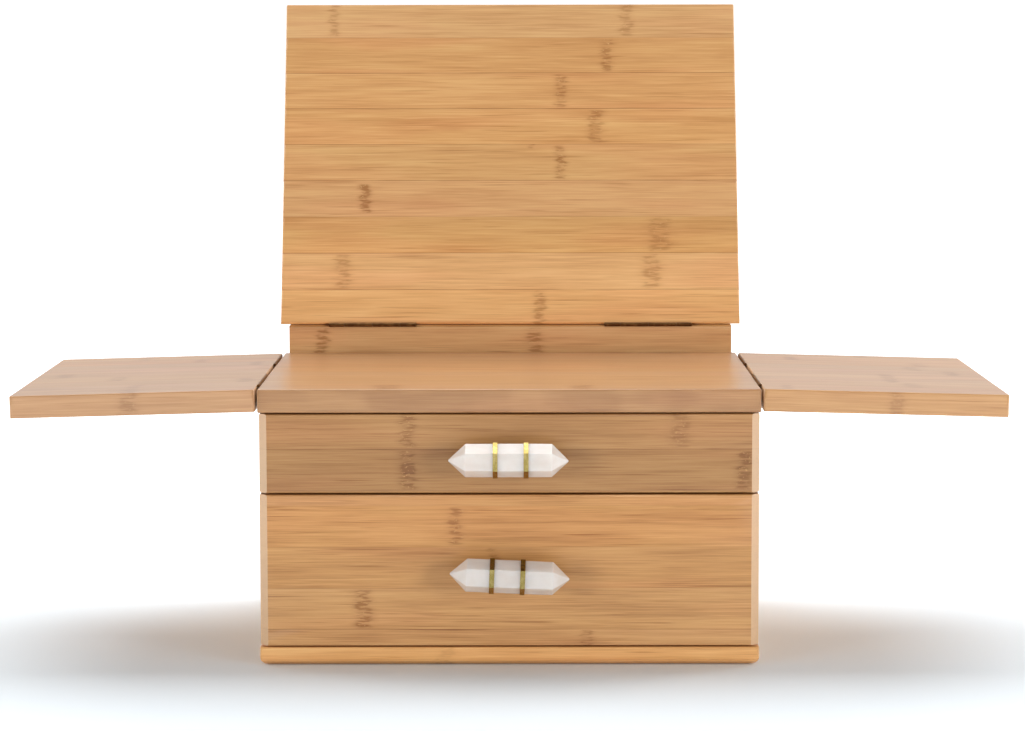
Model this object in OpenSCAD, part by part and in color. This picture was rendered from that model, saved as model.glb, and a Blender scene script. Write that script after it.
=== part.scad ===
// Bamboo jewelry box: two drawers with crystal pulls, two fold-out side wings and a hinged lid.
// Millimetres, +Z up, the front faces -Y. The origin is at the middle of the base's underside.

/* [Case] */
// Width of the top board and of the base
board_w = 270; // [266:1:310]
// Depth of the top board, front edge to rail
board_d = 200; // [186:1:230]
// Thickness of the top board
board_t = 12.7; // [10:0.1:15]
// Thickness of the base board
base_t = 10; // [8:0.5:14]
// Thickness of the two side panels
side_t = 10; // [8:0.5:12]
// Thickness of the back panel, whose top edge is the lid's rail
back_t = 12; // [11:0.5:15]
// How far the back panel rises above the top board
rail_rise = 16.6; // [14:0.1:24]
// Thickness of the shelf between the drawers
shelf_t = 8; // [6:0.5:9]

/* [Drawers] */
// Height of the upper drawer's front
upper_front_h = 42.6; // [36:0.2:60]
// Height of the lower drawer's front
lower_front_h = 82.2; // [60:0.2:110]
// Thickness of the drawer fronts
front_t = 12; // [10:0.5:14]
// Width of the chamfers on the fronts' upright edges
front_chamfer = 4.3; // [1:0.1:6]
// Thickness of the drawers' sides and backs
drawer_side_t = 8; // [6:0.5:10]
// Thickness of the drawers' bottoms
drawer_bottom_t = 4; // [3:0.5:5]
// Thickness of the felt in the drawers
felt_t = 1.5; // [1:0.5:3]
// Thickness of the upper drawer's dividers
divider_t = 5; // [4:0.5:8]

/* [Crystal pulls] */
// Length of a crystal, point to point
crystal_l = 64; // [55:0.5:80]
// Length of each point
crystal_tip = 9; // [6:0.5:12]
// Width of the upper crystal across its corners
upper_crystal_d = 18.2; // [14:0.2:20]
// Width of the lower crystal across its corners
lower_crystal_d = 18.2; // [14:0.2:20]
// Distance between the two brass bands
band_pitch = 16.4; // [12:0.2:24]
// Turn of the lower crystal, its right end down
lower_crystal_turn = 2.4; // [0:0.1:4]
// Clear space between a crystal and the drawer's front
pull_gap = 8; // [6:0.5:14]

/* [Wings] */
// Width of each fold-out wing
wing_w = 131.8; // [110:0.1:132]
// Thickness of each fold-out wing
wing_t = 12.2; // [10:0.1:13]
// Gap between a wing and the top board
seam = 1.3; // [1.3:0.1:1.6]
// How far an open wing hangs below level, in degrees
droop = 1.5; // [0:0.1:1.5]

/* [Lid] */
// Width of the lid
lid_w = 275; // [266:1:320]
// Length of the lid
lid_l = 204; // [180:1:230]
// Thickness of the lid
lid_t = 12; // [10:0.5:14]
// How far the open lid leans back from upright, in degrees
lid_lean = 20; // [10:1:25]

/* [Hinges] */
// Length of every hinge
hinge_l = 52; // [40:1:60]
// Distance from the middle of the box to the middle of each lid hinge
lid_hinge_x = 82.5; // [60:0.5:95]
// Distance from the middle of the wings' depth to the middle of each wing hinge
wing_hinge_y = 55; // [35:1:60]

/* [Hidden] */

$fn = 48;
eps = 0.01;

// Heights, from the table up
base_gap = 0.8;
front_gap = 1;
lower_front_z = base_t + base_gap;
upper_front_z = lower_front_z + lower_front_h + front_gap;
board_z = upper_front_z + upper_front_h + base_gap;
board_top = board_z + board_t;
rail_top = board_top + rail_rise;
shelf_z = upper_front_z - front_gap / 2 - shelf_t / 2;

// Depths, from the front to the back
board_overhang = 1;
case_clear = 0.4;
board_y = -board_d / 2 - back_t / 2;
back_y = board_y + board_d;
rear_y = back_y + back_t;
front_y = board_y + board_overhang;
front_back_y = front_y + front_t;
case_y = front_back_y + case_clear;

// Widths
front_inset = 0.5;
case_inset = 2;
back_inset = 2.5;
front_w = board_w - 2 * front_inset;
case_w = board_w - 2 * case_inset;
inner_w = case_w - 2 * side_t;
back_w = board_w - 2 * back_inset;
housing = 3;

// Edges and clearances
arris = 1;
fit = 0.1;
rail_edge_r = 3;
base_under_r = 5.5;
panel_corner_r = 2;
inner_corner_r = 0.5;
inner_ease = 0.5;

// Drawer boxes
drawer_play = 0.5;
drawer_rear_gap = 6;
upper_head_gap = 3;
lower_head_gap = 5.5;
divider_drop = 4;
drawer_w = inner_w - 2 * drawer_play;
drawer_rear_y = back_y - drawer_rear_gap;
drawer_inner_x = drawer_w / 2 - drawer_side_t;
drawer_inner_y = drawer_rear_y - drawer_side_t;
drawer_lift = 0.4;
bottom_lift = 3;
groove = 3;
drawer_bottom_x = drawer_inner_x + groove;
felt_edge = 0.5;
upper_box_z = shelf_z + shelf_t + drawer_lift;
upper_box_h = board_z - upper_head_gap - upper_box_z;
lower_box_z = base_t + drawer_lift;
lower_box_h = shelf_z - lower_head_gap - lower_box_z;
divider_z = upper_box_z + bottom_lift + drawer_bottom_t + felt_t + fit;
divider_h = upper_box_z + upper_box_h - divider_z - divider_drop;
divider_y = (front_back_y + drawer_inner_y) / 2;
cross_x = drawer_w / 6;

// Pulls, each with its place, its turn and how far the crystal lies off the middle of its bands
upper_pull_x = 0.8;
lower_pull_x = -1.1;
upper_crystal_shift = -1.2;
lower_crystal_shift = 1.2;
upper_pull_drop = 1.6;
lower_pull_drop = 0.7;
upper_pull_z = upper_front_z + upper_front_h / 2 - upper_pull_drop;
lower_pull_z = lower_front_z + lower_front_h / 2 - lower_pull_drop;
upper_pull = [upper_pull_x, upper_pull_z, 0, upper_crystal_shift];
lower_pull = [lower_pull_x, lower_pull_z, lower_crystal_turn, lower_crystal_shift];
point_d = 0.8;
band_w = 2.6;
band_t = 0.4;
post_r = 2.4;
post_flange = 1.2;
post_flange_t = 1;
pull_screw_r = 1.5;
pull_head_r = 3;
pull_head_t = 2.2;
pull_bore_end = 2;
pull_screw_end = 2.6;
recess_l = 4;
recess_w = 0.7;
recess_h = 1.2;

// Dowels
dowel_r = 3;
dowel_l = 20;
dowel_in_base = 7;
dowel_in_side = 12;
dowel_x = case_w / 2 - side_t / 2;
dowel_ys = [-70, 0, 70];

// Lid hinges: the axis lies just in front of the rail
knuckle_ends = [0, 0.18, 0.5, 0.82, 1];
knuckle_gap = 0.35;
plate_clear = 0.3;
pin_overhang = 0.2;
lid_axis_gap = 0.6;
lid_axis_lift = 0.3;
lid_axis_y = back_y - lid_axis_gap;
lid_axis_z = rail_top + lid_axis_lift;
lid_barrel_r = 1.2;
lid_pin_r = 0.6;
lid_plate_t = 0.8;
lid_plate_w = 8.2;
lid_screw_y = lid_axis_y + lid_barrel_r + plate_clear + lid_plate_w * 0.55;
lid_inner_offset = 0.5;
lid_foot_r = 1.8;
lid_corner_r = 1.5;

// Wing hinges: thin plates in the seam, the barrel level with the board's top
wing_axis_x = board_w / 2 + seam / 2;
wing_axis_lift = 0.1;
wing_axis_z = board_top + wing_axis_lift;
wing_barrel_r = 0.8;
wing_pin_r = 0.4;
wing_plate_t = 0.5;
wing_plate_w = 8;
wing_front_inset = 0.5;
wing_rear_gap = 2.3;
wing_screw_drop = 5.6;
wing_front_y = board_y + wing_front_inset;
wing_rear_y = back_y - wing_rear_gap;
wing_mid_y = (wing_front_y + wing_rear_y) / 2;
bumper_r = 5;
bumper_y = 50;
bumper_x = 75;
bumper_gap = 0.1;
bumper_h = lid_axis_z + lid_inner_offset - wing_axis_z - wing_axis_lift - wing_t - bumper_gap;

// Screws
pin_fit = 0.05;
screw_r = 0.8;
screw_head_r = 1.6;
screw_head_h = 0.9;
screw_l = 8;
screw_spots = [0.18, 0.5, 0.82];

bamboo = [0.84, 0.63, 0.42];
bamboo_dark = [0.78, 0.56, 0.35];
bamboo_pale = [0.87, 0.70, 0.52];
bronze = [0.36, 0.24, 0.13];
brass = [0.80, 0.66, 0.30];
quartz = [0.96, 0.94, 0.92];
felt = [0.90, 0.87, 0.80];
steel = [0.70, 0.70, 0.72];
rubber = [0.25, 0.22, 0.20];

// ---- Shapes shared by the pieces ----

// A rectangle from a to b whose corners are rounded
module rounded_rect(a, b, r) {
    translate([a[0] + r, a[1]]) square([b[0] - a[0] - 2 * r, b[1] - a[1]]);
    translate([a[0], a[1] + r]) square([b[0] - a[0], b[1] - a[1] - 2 * r]);
    for (x = [a[0] + r, b[0] - r], y = [a[1] + r, b[1] - r]) translate([x, y]) circle(r);
}

// Stands a profile drawn across X and Z along Y
module along_y(y0, y1) {
    translate([0, y1, 0]) rotate([90, 0, 0]) linear_extrude(y1 - y0) children();
}

// Stands a profile drawn across Y and Z along X
module along_x(x0, x1) {
    translate([x0, 0, 0]) rotate([90, 0, 90]) linear_extrude(x1 - x0) children();
}

// A board between two corners with rounded upright corners and eased arrises
module board(a, b, corner = panel_corner_r, ease = arris) {
    intersection() {
        translate([0, 0, a[2]]) linear_extrude(b[2] - a[2])
            rounded_rect([a[0], a[1]], [b[0], b[1]], corner);
        along_y(a[1] - 1, b[1] + 1) rounded_rect([a[0], a[2]], [b[0], b[2]], ease);
        along_x(a[0] - 1, b[0] + 1) rounded_rect([a[1], a[2]], [b[1], b[2]], ease);
    }
}

// A plain block between two corners
module block(a, b) {
    translate(a) cube(b - a);
}

// A countersunk screw whose head is flush at z = 0 and whose shank points down
module wood_screw(extra = 0) {
    translate([0, 0, -screw_l]) cylinder(r = screw_r + extra, h = screw_l, $fn = 24);
    translate([0, 0, -screw_head_h])
        cylinder(r1 = screw_r + extra, r2 = screw_head_r + extra, h = screw_head_h + extra, $fn = 24);
}

// The three screws of one hinge plate, along X from the middle of the hinge
module screw_row(extra = 0) {
    for (spot = screw_spots) translate([(spot - 0.5) * hinge_l, 0, 0]) wood_screw(extra);
}

// One plate of a butt hinge. Its barrel lies on the X axis, the plate reaches along +Y,
// and the plate's outer face is at z = drop. parity 0 has the first and third knuckles.
module hinge_plate(parity, barrel_r, pin_r, drop, t, w) {
    reach = barrel_r + plate_clear;
    difference() {
        union() {
            translate([-hinge_l / 2, reach, drop]) cube([hinge_l, w, t]);
            for (i = [parity, parity + 2]) {
                x0 = (knuckle_ends[i] - 0.5) * hinge_l + (i == 0 ? 0 : knuckle_gap / 2);
                x1 = (knuckle_ends[i + 1] - 0.5) * hinge_l - (i == 3 ? 0 : knuckle_gap / 2);
                translate([x0, 0, 0]) rotate([0, 90, 0]) cylinder(r = barrel_r, h = x1 - x0);
                translate([x0, 0, drop]) cube([x1 - x0, reach + 0.5, t]);
            }
        }
        translate([-hinge_l, 0, 0]) rotate([0, 90, 0]) cylinder(r = pin_r + pin_fit, h = 2 * hinge_l);
    }
}

module hinge_pin(pin_r) {
    translate([-hinge_l / 2 - pin_overhang, 0, 0]) rotate([0, 90, 0])
        cylinder(r = pin_r, h = hinge_l + 2 * pin_overhang);
}

// ---- Places ----

module at_lid_hinge(side) {
    translate([side * lid_hinge_x, lid_axis_y, lid_axis_z]) children();
}

// Turns the closed lid's frame, whose axis is at its origin, to the open pose
module lid_pose() {
    translate([0, lid_axis_y, lid_axis_z]) rotate([-90 - lid_lean, 0, 0]) children();
}

// The right-hand wing's side as drawn, or the left by mirroring
module on_side(side) {
    mirror([side < 0 ? 1 : 0, 0, 0]) children();
}

// A wing's level frame, drooped about its hinge axis
module wing_pose(side) {
    on_side(side)
        translate([wing_axis_x, 0, wing_axis_z]) rotate([0, droop, 0])
            translate([-wing_axis_x, 0, -wing_axis_z]) children();
}

// A hinge frame in the seam: barrel along Y, plate reaching down, its z pointing at the board;
// end is -1 front, 1 rear
module at_wing_hinge(end) {
    translate([wing_axis_x, wing_mid_y + end * wing_hinge_y, wing_axis_z])
        rotate([-90, 0, 90]) children();
}

// Screws of the rail plates and of the lid plates, heads facing each other
module rail_screw_set(extra = 0) {
    for (side = [-1, 1])
        translate([side * lid_hinge_x, lid_screw_y, rail_top]) screw_row(extra);
}

module lid_screw_set(extra = 0) {
    for (side = [-1, 1])
        translate([side * lid_hinge_x, lid_screw_y, lid_axis_z]) rotate([180, 0, 0]) screw_row(extra);
}

// Screws into the board's edge and into the wing's edge, for the right-hand side
module board_screw_set(extra = 0) {
    for (end = [-1, 1])
        translate([board_w / 2 + wing_plate_t, wing_mid_y + end * wing_hinge_y,
                   wing_axis_z - wing_screw_drop])
            rotate([90, 0, 90]) screw_row(extra);
}

module wing_screw_set(extra = 0) {
    for (end = [-1, 1])
        translate([board_w / 2 + seam - wing_plate_t, wing_mid_y + end * wing_hinge_y,
                   wing_axis_z - wing_screw_drop])
            rotate([90, 0, -90]) screw_row(extra);
}

// ---- Case ----

module base_board() {
    color(bamboo_dark) difference() {
        intersection() {
            board([-board_w / 2, front_y, 0], [board_w / 2, rear_y, base_t]);
            along_y(front_y - 1, rear_y + 1)
                rounded_rect([-board_w / 2, 0], [board_w / 2, base_t + base_under_r], base_under_r);
            along_x(-board_w, board_w)
                rounded_rect([front_y, 0], [rear_y, base_t + base_under_r], base_under_r);
        }
        dowel_set(fit);
    }
}

module dowel_set(extra = 0) {
    for (x = [-dowel_x, dowel_x], y = dowel_ys, z = [base_t - dowel_in_base, board_z - dowel_in_side])
        translate([x, y, z]) cylinder(r = dowel_r + extra, h = dowel_l + extra, $fn = 32);
}

module side_panel(side) {
    color(bamboo) on_side(side) difference() {
        board([inner_w / 2, case_y, base_t], [case_w / 2, back_y, board_z], inner_corner_r, inner_ease);
        block([inner_w / 2 - 1, case_y - 1, shelf_z - fit],
              [inner_w / 2 + housing + fit, back_y + 1, shelf_z + shelf_t + fit]);
        dowel_set(fit);
    }
}

module back_panel() {
    color(bamboo) difference() {
        intersection() {
            board([-back_w / 2, back_y, base_t], [back_w / 2, rear_y, rail_top], 1);
            along_x(-board_w, board_w)
                rounded_rect([back_y, 0], [rear_y + rail_edge_r, rail_top], rail_edge_r);
        }
        for (side = [-1, 1])
            translate([side * lid_hinge_x - hinge_l / 2 - fit, back_y - 1, rail_top - lid_plate_t - eps])
                cube([hinge_l + 2 * fit, lid_plate_w + 2, 2]);
        rail_screw_set(pin_fit);
    }
}

module divider_shelf() {
    color(bamboo)
        board([-inner_w / 2 - housing, case_y, shelf_z],
              [inner_w / 2 + housing, back_y, shelf_z + shelf_t], inner_corner_r, inner_ease);
}

module top_board() {
    color(bamboo_pale) difference() {
        board([-board_w / 2, board_y, board_z], [board_w / 2, back_y, board_top], 1);
        dowel_set(fit);
        board_screw_set(pin_fit);
        mirror([1, 0, 0]) board_screw_set(pin_fit);
    }
}

module case_dowels() {
    color(bamboo_pale) dowel_set();
}

// ---- Lid and its hinges ----

// The lid's section in its closed frame: its rear end is cut to stand flat on the rail when open
module lid_section() {
    foot = -lid_inner_offset * tan(lid_lean);
    heel = -(lid_inner_offset + lid_t) * tan(lid_lean);
    run = lid_foot_r / tan((90 - lid_lean) / 2);
    difference() {
        polygon([
            [foot, lid_inner_offset],
            [heel, lid_inner_offset + lid_t],
            [-lid_l, lid_inner_offset + lid_t],
            [-lid_l, lid_inner_offset]
        ]);
        difference() {
            polygon([
                [foot + eps, lid_inner_offset - eps],
                [foot - run * sin(lid_lean), lid_inner_offset + run * cos(lid_lean)],
                [foot - run, lid_inner_offset + lid_foot_r],
                [foot - run, lid_inner_offset - eps]
            ]);
            translate([foot - run, lid_inner_offset + lid_foot_r]) circle(lid_foot_r);
        }
    }
}

module lid_panel() {
    color(bamboo) difference() {
        lid_pose() intersection() {
            along_x(-lid_w / 2, lid_w / 2) lid_section();
            board([-lid_w / 2, -lid_l, lid_inner_offset],
                  [lid_w / 2, lid_t, lid_inner_offset + lid_t], lid_corner_r);
        }
        for (side = [-1, 1])
            translate([side * lid_hinge_x - hinge_l / 2 - fit, lid_axis_y, lid_axis_z - 1])
                cube([hinge_l + 2 * fit, lid_plate_w + 2, lid_plate_t + 1 + eps]);
        lid_screw_set(pin_fit);
    }
}

module rail_plate(side) {
    color(bronze) difference() {
        at_lid_hinge(side)
            hinge_plate(0, lid_barrel_r, lid_pin_r, rail_top - lid_plate_t - lid_axis_z,
                        lid_plate_t, lid_plate_w);
        rail_screw_set(pin_fit);
    }
}

module lid_plate(side) {
    color(bronze) difference() {
        at_lid_hinge(side) hinge_plate(1, lid_barrel_r, lid_pin_r, 0, lid_plate_t, lid_plate_w);
        lid_screw_set(pin_fit);
    }
}

module lid_pin(side) {
    color(bronze) at_lid_hinge(side) hinge_pin(lid_pin_r);
}

// ---- Fold-out wings and their hinges ----

module wing(side) {
    color(bamboo_pale) wing_pose(side) difference() {
        board([board_w / 2 + seam, wing_front_y, board_top - wing_t],
              [board_w / 2 + seam + wing_w, wing_rear_y, board_top]);
        wing_screw_set(pin_fit);
    }
}

module board_plate(side, end) {
    color(bronze) on_side(side) difference() {
        at_wing_hinge(end)
            hinge_plate(0, wing_barrel_r, wing_pin_r, seam / 2 - wing_plate_t, wing_plate_t,
                        wing_plate_w);
        board_screw_set(pin_fit);
    }
}

module wing_plate(side, end) {
    color(bronze) wing_pose(side) difference() {
        at_wing_hinge(end)
            hinge_plate(1, wing_barrel_r, wing_pin_r, -seam / 2, wing_plate_t, wing_plate_w);
        wing_screw_set(pin_fit);
    }
}

module wing_pin(side, end) {
    color(bronze) on_side(side) at_wing_hinge(end) hinge_pin(wing_pin_r);
}

module wing_bumpers(side) {
    color(rubber) wing_pose(side)
        for (y = [-bumper_y, bumper_y])
            translate([board_w / 2 + bumper_x, y, board_top - wing_t - bumper_h])
                cylinder(r1 = bumper_r - 1, r2 = bumper_r, h = bumper_h);
}

// ---- Drawers ----

// A drawer front whose upright front edges are chamfered
module drawer_front(z, h, box_z, pull) {
    color(bamboo_dark) difference() {
        intersection() {
            board([-front_w / 2, front_y, z], [front_w / 2, front_back_y + 10, z + h], arris);
            block([-board_w, board_y, z - 1], [board_w, front_back_y, z + h + 1]);
        }
        for (x = [-front_w / 2, front_w / 2]) translate([x, front_y, z + h / 2]) rotate([0, 0, 45])
            cube([front_chamfer * sqrt(2), front_chamfer * sqrt(2), 2 * h], center = true);
        block([-drawer_bottom_x - fit, front_back_y - groove - fit, box_z + bottom_lift - fit],
              [drawer_bottom_x + fit, front_back_y + 1, box_z + bottom_lift + drawer_bottom_t + fit]);
        at_posts(pull) rotate([90, 0, 0])
            translate([0, 0, -2 * front_t]) cylinder(r = pull_screw_r + 0.2, h = 4 * front_t, $fn = 32);
    }
}

module drawer_side(side, z, h) {
    color(bamboo) on_side(side) difference() {
        board([drawer_inner_x, front_back_y, z], [drawer_w / 2, drawer_rear_y, z + h],
              inner_corner_r, inner_ease);
        block([drawer_inner_x - 1, front_back_y - 1, z + bottom_lift - fit],
              [drawer_bottom_x + fit, drawer_inner_y + groove, z + bottom_lift + drawer_bottom_t + fit]);
    }
}

module drawer_back(z, h) {
    color(bamboo) difference() {
        board([-drawer_inner_x, drawer_inner_y, z], [drawer_inner_x, drawer_rear_y, z + h],
              inner_corner_r, inner_ease);
        block([-drawer_w, drawer_inner_y - 1, z + bottom_lift - fit],
              [drawer_w, drawer_inner_y + groove + fit, z + bottom_lift + drawer_bottom_t + fit]);
    }
}

module drawer_bottom(z) {
    color(bamboo) block(
        [-drawer_bottom_x, front_back_y - groove, z + bottom_lift],
        [drawer_bottom_x, drawer_inner_y + groove - fit, z + bottom_lift + drawer_bottom_t]
    );
}

module drawer_felt(z) {
    floor_z = z + bottom_lift + drawer_bottom_t;
    color(felt) block(
        [-drawer_inner_x + felt_edge, front_back_y + felt_edge, floor_z],
        [drawer_inner_x - felt_edge, drawer_inner_y - felt_edge, floor_z + felt_t]
    );
}

module upper_drawer_long_divider() {
    color(bamboo_pale) difference() {
        board([-drawer_inner_x + fit, divider_y - divider_t / 2, divider_z],
              [drawer_inner_x - fit, divider_y + divider_t / 2, divider_z + divider_h],
              inner_corner_r, inner_ease);
        for (x = [-cross_x, cross_x])
            block([x - divider_t / 2 - fit, divider_y - divider_t, divider_z + divider_h / 2],
                  [x + divider_t / 2 + fit, divider_y + divider_t, divider_z + divider_h + 1]);
    }
}

module upper_drawer_cross_dividers() {
    color(bamboo_pale) for (x = [-cross_x, cross_x]) difference() {
        board([x - divider_t / 2, front_back_y + fit, divider_z],
              [x + divider_t / 2, drawer_inner_y - fit, divider_z + divider_h],
              inner_corner_r, inner_ease);
        block([x - divider_t, divider_y - divider_t / 2 - fit, divider_z - 1],
              [x + divider_t, divider_y + divider_t / 2 + fit, divider_z + divider_h / 2 + fit]);
    }
}

// ---- Crystal pulls ----

// The two post places of a pull, on the face of its drawer
module at_posts(pull) {
    translate([pull[0], front_y, pull[1]]) rotate([0, pull[2], 0])
        for (side = [-1, 1]) translate([side * band_pitch / 2, 0, 0]) children();
}

module crystal_pose(pull, d) {
    translate([pull[0], front_y - pull_gap - d / 2 * cos(30), pull[1]])
        rotate([0, pull[2], 0]) children();
}

// A six-sided bar along X with one flat side facing the front
module hex_bar(d, l) {
    translate([-l / 2, 0, 0]) rotate([0, 90, 0]) cylinder(d = d, h = l, $fn = 6);
}

module crystal(pull, d) {
    color(quartz) crystal_pose(pull, d) translate([pull[3], 0, 0]) {
        hex_bar(d, crystal_l - 2 * crystal_tip);
        for (side = [0, 1]) mirror([side, 0, 0])
            translate([crystal_l / 2 - crystal_tip, 0, 0]) rotate([0, 90, 0])
                cylinder(d1 = d, d2 = point_d, h = crystal_tip, $fn = 6);
    }
}

module pull_bands(pull, d) {
    color(brass) crystal_pose(pull, d)
        for (side = [-1, 1]) translate([side * band_pitch / 2, 0, 0]) difference() {
            hex_bar(d + 2 * (band_t + fit) / cos(30), band_w);
            hex_bar(d + 2 * fit / cos(30), 2 * band_w);
        }
}

module pull_posts(pull) {
    color(brass) at_posts(pull) rotate([90, 0, 0]) difference() {
        union() {
            cylinder(r = post_r, h = pull_gap - band_t - fit);
            cylinder(r = post_r + post_flange, h = post_flange_t);
        }
        translate([0, 0, -1])
            cylinder(r = pull_screw_r + pin_fit, h = pull_gap - pull_bore_end + 1, $fn = 32);
    }
}

module pull_screws(pull) {
    color(steel) at_posts(pull) rotate([90, 0, 0]) translate([0, 0, -front_t]) {
        cylinder(r = pull_screw_r, h = front_t + pull_gap - pull_screw_end, $fn = 32);
        difference() {
            translate([0, 0, -pull_head_t]) cylinder(r = pull_head_r, h = pull_head_t);
            for (turn_in = [0, 90]) rotate([0, 0, turn_in])
                translate([-recess_l / 2, -recess_w / 2, -pull_head_t - 1])
                    cube([recess_l, recess_w, 1 + recess_h]);
        }
    }
}

base_board();
side_panel(-1);  // left_side_panel
side_panel(1);  // right_side_panel
back_panel();
divider_shelf();
top_board();
case_dowels();
rail_plate(-1);  // left_lid_hinge_rail_plate
rail_plate(1);  // right_lid_hinge_rail_plate
lid_pin(-1);  // left_lid_hinge_pin
lid_pin(1);  // right_lid_hinge_pin
color(bronze) rail_screw_set();  // rail_screws
board_plate(-1, -1);  // left_front_hinge_board_plate
board_plate(-1, 1);  // left_rear_hinge_board_plate
board_plate(1, -1);  // right_front_hinge_board_plate
board_plate(1, 1);  // right_rear_hinge_board_plate
wing_pin(-1, -1);  // left_front_hinge_pin
wing_pin(-1, 1);  // left_rear_hinge_pin
wing_pin(1, -1);  // right_front_hinge_pin
wing_pin(1, 1);  // right_rear_hinge_pin
color(bronze) for (side = [-1, 1]) on_side(side) board_screw_set();  // board_edge_screws
lid_panel();
lid_plate(-1);  // left_lid_hinge_lid_plate
lid_plate(1);  // right_lid_hinge_lid_plate
color(bronze) lid_screw_set();  // lid_screws
wing(-1);  // left_wing_panel
wing_plate(-1, -1);  // left_front_hinge_wing_plate
wing_plate(-1, 1);  // left_rear_hinge_wing_plate
color(bronze) wing_pose(-1) wing_screw_set();  // left_wing_screws
wing_bumpers(-1);  // left_wing_bumpers
wing(1);  // right_wing_panel
wing_plate(1, -1);  // right_front_hinge_wing_plate
wing_plate(1, 1);  // right_rear_hinge_wing_plate
color(bronze) wing_pose(1) wing_screw_set();  // right_wing_screws
wing_bumpers(1);  // right_wing_bumpers
drawer_front(upper_front_z, upper_front_h, upper_box_z, upper_pull);  // upper_drawer_front
drawer_side(-1, upper_box_z, upper_box_h);  // upper_drawer_left_side
drawer_side(1, upper_box_z, upper_box_h);  // upper_drawer_right_side
drawer_back(upper_box_z, upper_box_h);  // upper_drawer_back
drawer_bottom(upper_box_z);  // upper_drawer_bottom
drawer_felt(upper_box_z);  // upper_drawer_felt
upper_drawer_long_divider();
upper_drawer_cross_dividers();
crystal(upper_pull, upper_crystal_d);  // upper_crystal
pull_bands(upper_pull, upper_crystal_d);  // upper_pull_bands
pull_posts(upper_pull);  // upper_pull_posts
pull_screws(upper_pull);  // upper_pull_screws
drawer_front(lower_front_z, lower_front_h, lower_box_z, lower_pull);  // lower_drawer_front
drawer_side(-1, lower_box_z, lower_box_h);  // lower_drawer_left_side
drawer_side(1, lower_box_z, lower_box_h);  // lower_drawer_right_side
drawer_back(lower_box_z, lower_box_h);  // lower_drawer_back
drawer_bottom(lower_box_z);  // lower_drawer_bottom
drawer_felt(lower_box_z);  // lower_drawer_felt
crystal(lower_pull, lower_crystal_d);  // lower_crystal
pull_bands(lower_pull, lower_crystal_d);  // lower_pull_bands
pull_posts(lower_pull);  // lower_pull_posts
pull_screws(lower_pull);  // lower_pull_screws
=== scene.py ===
import math
import random

import bmesh
import bpy
from mathutils import Matrix, Vector


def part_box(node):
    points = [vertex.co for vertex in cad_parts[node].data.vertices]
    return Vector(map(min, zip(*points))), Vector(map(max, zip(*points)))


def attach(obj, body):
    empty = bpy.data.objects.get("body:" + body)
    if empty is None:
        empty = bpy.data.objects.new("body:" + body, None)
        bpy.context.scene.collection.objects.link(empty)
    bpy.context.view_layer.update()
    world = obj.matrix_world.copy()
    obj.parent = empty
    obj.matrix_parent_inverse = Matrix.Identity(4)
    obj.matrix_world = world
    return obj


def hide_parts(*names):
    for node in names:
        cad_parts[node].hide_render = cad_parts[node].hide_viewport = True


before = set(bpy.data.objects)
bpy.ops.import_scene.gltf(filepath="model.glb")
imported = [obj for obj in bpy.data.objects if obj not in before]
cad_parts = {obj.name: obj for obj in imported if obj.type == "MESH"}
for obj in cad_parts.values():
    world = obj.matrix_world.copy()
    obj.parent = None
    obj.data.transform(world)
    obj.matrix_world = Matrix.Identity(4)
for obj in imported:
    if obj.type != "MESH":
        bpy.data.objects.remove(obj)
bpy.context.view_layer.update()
scene = bpy.context.scene
mm = 0.001
weldDistance = 2e-6   # a CAD mesh is loose triangles; corners closer than this are one


def linear(channel):
    channel = channel / 255
    return channel / 12.92 if channel <= 0.04045 else ((channel + 0.055) / 1.055) ** 2.4


def paint(red, green, blue):
    return (linear(red), linear(green), linear(blue), 1.0)


# Adds a node, sets its properties, and fills or links its inputs
def put(tree, kind, inputs=None, **settings):
    node = tree.nodes.new(kind)
    for name, value in settings.items():
        setattr(node, name, value)
    for name, value in (inputs or {}).items():
        socket = node.inputs[name]
        if isinstance(value, bpy.types.NodeSocket):
            tree.links.new(value, socket)
        else:
            socket.default_value = value
    return node


def sums(tree, operation, first, second=0.0, third=0.0):
    node = put(tree, "ShaderNodeMath", {0: first, 1: second, 2: third}, operation=operation)
    return node.outputs[0]


def vectorSums(tree, operation, first, second):
    node = put(tree, "ShaderNodeVectorMath", {0: first, 1: second}, operation=operation)
    return node.outputs[0]


def spread(tree, value, low, high, newLow=0.0, newHigh=1.0):
    node = put(tree, "ShaderNodeMapRange", {"Value": value, "From Min": low, "From Max": high,
                                            "To Min": newLow, "To Max": newHigh})
    node.interpolation_type = "SMOOTHSTEP"
    return node.outputs["Result"]


def noise(tree, place, scale=1.0, detail=2.0, roughness=0.5):
    node = put(tree, "ShaderNodeTexNoise", {"Vector": place, "Scale": scale, "Detail": detail,
                                            "Roughness": roughness})
    return node.outputs["Fac"]


def blendColour(tree, amount, first, second, how="MIX"):
    node = tree.nodes.new("ShaderNodeMix")
    node.data_type = "RGBA"
    node.blend_type = how
    for index, value in ((0, amount), (6, first), (7, second)):
        if isinstance(value, bpy.types.NodeSocket):
            tree.links.new(value, node.inputs[index])
        else:
            node.inputs[index].default_value = value
    return node.outputs[2]


def newMaterial(name):
    material = bpy.data.materials.new(name)
    material.use_nodes = True
    tree = material.node_tree
    tree.nodes.clear()
    output = tree.nodes.new("ShaderNodeOutputMaterial")
    shader = tree.nodes.new("ShaderNodeBsdfPrincipled")
    tree.links.new(shader.outputs[0], output.inputs[0])
    return material, tree, shader


def bump(tree, shader, height, strength, distance):
    node = put(tree, "ShaderNodeBump", {"Height": height, "Strength": strength, "Distance": distance})
    tree.links.new(node.outputs[0], shader.inputs["Normal"])


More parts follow.
